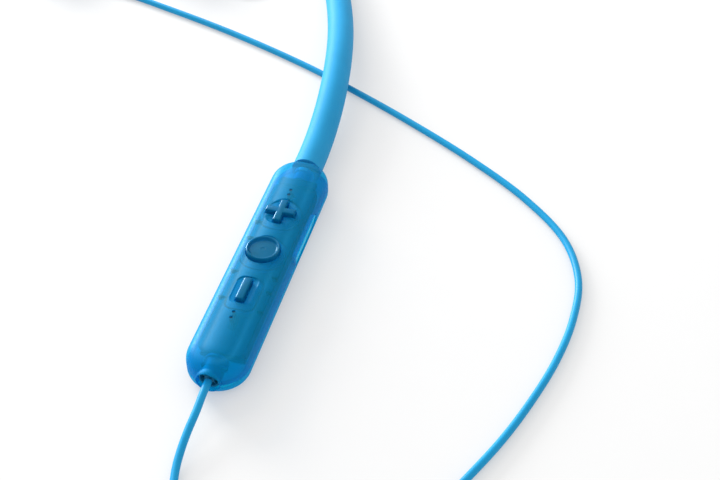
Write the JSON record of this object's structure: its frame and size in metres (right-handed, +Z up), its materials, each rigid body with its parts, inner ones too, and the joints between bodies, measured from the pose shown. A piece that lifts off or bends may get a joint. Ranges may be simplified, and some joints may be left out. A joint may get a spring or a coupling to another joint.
{
  "type": "neckband earphones",
  "caption": "U-shaped springy neckband with a translucent control pod and a matching battery pod at its ends, and a thin cable to an in-ear earbud from each pod.",
  "frame": {"origin": "on the table, under the middle of the neckband's and pods' outline", "axes": "+Y towards the neckband's closed back, +X towards the control pod, +Z up from the table"},
  "size_m": [0.1918, 0.248, 0.0126],
  "materials": {
    "tinted_shell": "translucent, satin",
    "button_plastic": "translucent, gloss",
    "carrier_plastic": "moulded, matt",
    "soft_sleeve": "satin silicone",
    "cable_skin": "satin",
    "silicone": "satin silicone",
    "board": "solder mask",
    "steel": "bright",
    "black_plastic": "moulded",
    "cell_foil": "foil",
    "clear_plastic": "clear"
  },
  "bodies": {
    "root": {"neckband_sleeve": "soft_sleeve", "neckband_spring_wire": "steel", "neckband_signal_wire": "black_plastic", "control_pod_top_shell": "tinted_shell", "control_pod_bottom_shell": "tinted_shell", "control_carrier_frame": "carrier_plastic", "control_circuit_board": "board", "charge_port": "steel", "status_light_pipe": "clear_plastic", "status_light": "clear_plastic", "microphone": "steel", "radio_module": "steel", "right_neckband_collar": "steel", "right_cable_grommet": "silicone", "battery_pod_top_shell": "tinted_shell", "battery_pod_bottom_shell": "tinted_shell", "battery_tray": "carrier_plastic", "battery_cell": "cell_foil", "battery_protection_board": "board", "left_neckband_collar": "steel", "left_cable_grommet": "silicone", "right_earbud_cable": "cable_skin", "left_earbud_cable": "cable_skin", "plus_switch_housing": "steel", "centre_switch_housing": "steel", "minus_switch_housing": "steel", "right_earbud_rear_housing": "tinted_shell", "right_earbud_front_housing": "tinted_shell", "right_earbud_driver": "steel", "right_earbud_magnet": "steel", "right_earbud_mesh": "steel", "right_cable_boot": "silicone", "left_earbud_rear_housing": "tinted_shell", "left_earbud_front_housing": "tinted_shell", "left_earbud_driver": "steel", "left_earbud_magnet": "steel", "left_earbud_mesh": "steel", "left_cable_boot": "silicone"},
    "plus_button": {"plus_button": "button_plastic", "plus_switch_plunger": "black_plastic"},
    "centre_button": {"centre_button": "button_plastic", "centre_switch_plunger": "black_plastic"},
    "minus_button": {"minus_button": "button_plastic", "minus_switch_plunger": "black_plastic"},
    "port_cover": {"port_cover": "silicone"},
    "right_ear_tip": {"right_ear_tip": "silicone"},
    "left_ear_tip": {"left_ear_tip": "silicone"}
  },
  "joints": [
    {"name": "plus_button_press", "type": "slide", "parent": "root", "child": "plus_button", "axis": [0, 0, -1], "range_m": [0, 0.0003], "stiffness_N_per_m": 1000},
    {"name": "centre_button_press", "type": "slide", "parent": "root", "child": "centre_button", "axis": [0, 0, -1], "range_m": [0, 0.0003], "stiffness_N_per_m": 1000},
    {"name": "minus_button_press", "type": "slide", "parent": "root", "child": "minus_button", "axis": [0, 0, -1], "range_m": [0, 0.0003], "stiffness_N_per_m": 1000},
    {"name": "port_cover_hinge", "type": "hinge", "parent": "root", "child": "port_cover", "pos_m": [0.0598, -0.06934, 0.0031], "axis": [0, 0, -1], "range_deg": [0, 100]},
    {"name": "right_ear_tip_pull", "type": "slide", "parent": "root", "child": "right_ear_tip", "axis": [0.5299, 0.848, 0], "range_m": [0, 0.008]},
    {"name": "left_ear_tip_pull", "type": "slide", "parent": "root", "child": "left_ear_tip", "axis": [0.5299, 0.848, 0], "range_m": [0, 0.008]}
  ]
}
